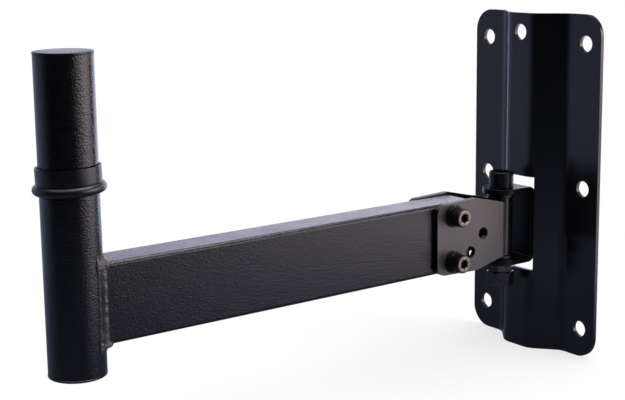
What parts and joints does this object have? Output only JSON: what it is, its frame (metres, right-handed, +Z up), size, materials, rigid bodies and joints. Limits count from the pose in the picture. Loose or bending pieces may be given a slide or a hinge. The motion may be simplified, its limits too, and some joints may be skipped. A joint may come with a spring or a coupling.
{
  "type": "speaker wall bracket",
  "caption": "Wall bracket for a small loudspeaker: folded wall plate, swivelling box-section arm and an upright pole with a loose collar.",
  "frame": {"origin": "on the wall, in the middle of the four outer fixing holes, at the back of the plate's flanges", "axes": "+X along the wall to the right as seen from the room, +Y into the wall, +Z up; the arm reaches out along -Y at rest"},
  "size_m": [0.126, 0.4045, 0.252],
  "materials": {
    "smooth_black_coat": "smooth semi-gloss black powder coat on folded steel",
    "grained_black_coat": "fine-grained satin black powder coat on steel tube",
    "black_plastic": "matt black moulded plastic",
    "black_fasteners": "black-oxide steel, oiled"
  },
  "bodies": {
    "wall_side": {"wall_plate": "smooth_black_coat", "hinge_bracket": "smooth_black_coat", "bracket_welds": "smooth_black_coat", "pivot_screw": "black_fasteners", "pivot_thin_nut": "black_fasteners", "pivot_full_nut": "black_fasteners", "upper_thrust_washer": "black_plastic", "lower_thrust_washer": "black_plastic"},
    "arm": {"hinge_barrel": "smooth_black_coat", "barrel_welds": "smooth_black_coat", "arm_bracket": "smooth_black_coat", "arm_tube": "grained_black_coat", "upper_cheek_bolt": "black_fasteners", "upper_flat_washer": "black_fasteners", "upper_spring_washer": "black_fasteners", "upper_nut_washer": "black_fasteners", "upper_lock_nut": "black_fasteners", "lower_cheek_bolt": "black_fasteners", "lower_flat_washer": "black_fasteners", "lower_spring_washer": "black_fasteners", "lower_nut_washer": "black_fasteners", "lower_lock_nut": "black_fasteners", "arm_weld": "grained_black_coat", "pole_tube": "grained_black_coat", "pole_cap_top": "black_plastic", "pole_cap_bottom": "black_plastic", "pole_collar": "black_plastic"}
  },
  "joints": [
    {"name": "swivel", "type": "hinge", "parent": "wall_side", "child": "arm", "pos_m": [0, -0.0365, -0.03], "axis": [0, 0, 1], "range_deg": [-90, 90]}
  ]
}
